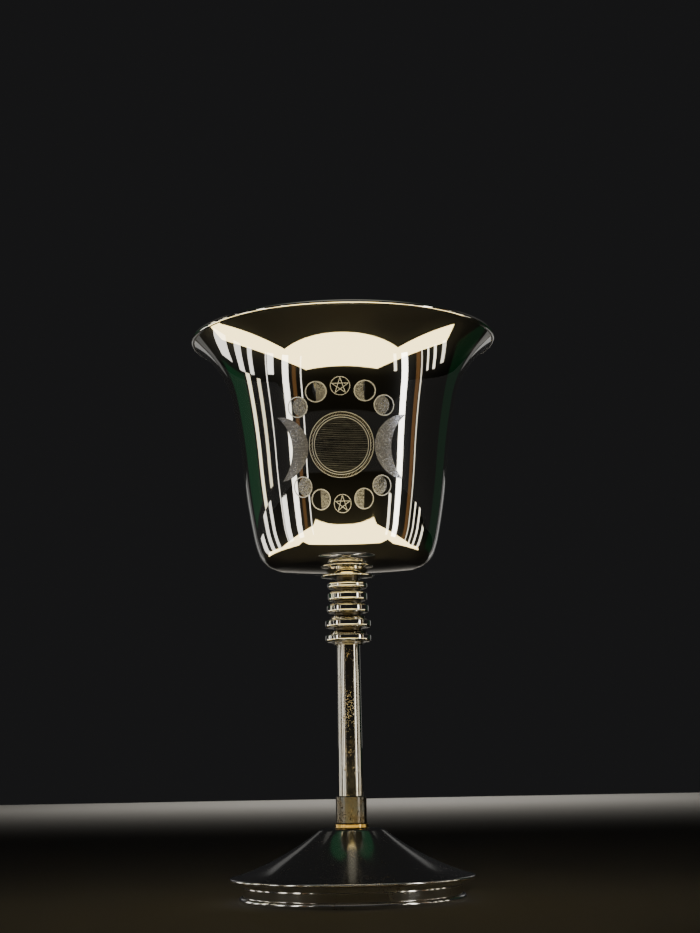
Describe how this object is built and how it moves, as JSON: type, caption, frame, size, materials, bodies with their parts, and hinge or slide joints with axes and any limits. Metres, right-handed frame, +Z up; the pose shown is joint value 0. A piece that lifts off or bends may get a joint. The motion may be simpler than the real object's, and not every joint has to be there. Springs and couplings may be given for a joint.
{
  "type": "chalice",
  "caption": "Stemmed metal goblet with a flared cup that unscrews from a ringed knop, on a slim tube stem and a round trumpet foot.",
  "frame": {"origin": "centre of the flat ring that the goblet stands on, at table height", "axes": "+Z up along the axis of the stem; the object is round, and +X and +Y are level, with the engraved face of the cup towards -Y"},
  "size_m": [0.099, 0.099, 0.178],
  "materials": {
    "cup_plate": "silver plate on spun brass, mirror polish",
    "turned_plate": "silver plate on turned brass, mirror polish",
    "stem_plate": "silver plate on brass tube, polished, slightly pitted",
    "worn_plate": "thin silver plate with the brass showing through, satin",
    "foot_plate": "silver plate on spun brass, mirror polish",
    "bare_brass": "bare brass, polished",
    "plain_steel": "bright zinc plate",
    "washer_fibre": "brown fibre washer, matt"
  },
  "bodies": {
    "stem": {"stem_knop": "turned_plate", "stem_tube": "stem_plate", "stem_ferrule": "worn_plate", "stem_ring": "bare_brass", "tie_rod": "plain_steel", "foot_shell": "foot_plate", "foot_band": "foot_plate", "foot_bead": "foot_plate", "foot_washer": "plain_steel", "spring_washer": "plain_steel", "hex_nut": "plain_steel"},
    "washer": {"stud_washer": "washer_fibre"},
    "cup": {"cup_bowl": "cup_plate", "cup_saucer": "turned_plate", "cup_stud": "bare_brass"}
  },
  "joints": [
    {"name": "cup_lift", "type": "slide", "parent": "stem", "child": "washer", "axis": [0, 0, 1], "range_m": [0, 0.0064]},
    {"name": "cup_unscrew", "type": "hinge", "parent": "washer", "child": "cup", "pos_m": [0, 0, 0.1], "axis": [0, 0, 1], "range_deg": [0, 2880]}
  ],
  "couplings": [
    {"joint": "cup_lift", "follows": "cup_unscrew", "m_per_rad": 0.00012732}
  ]
}
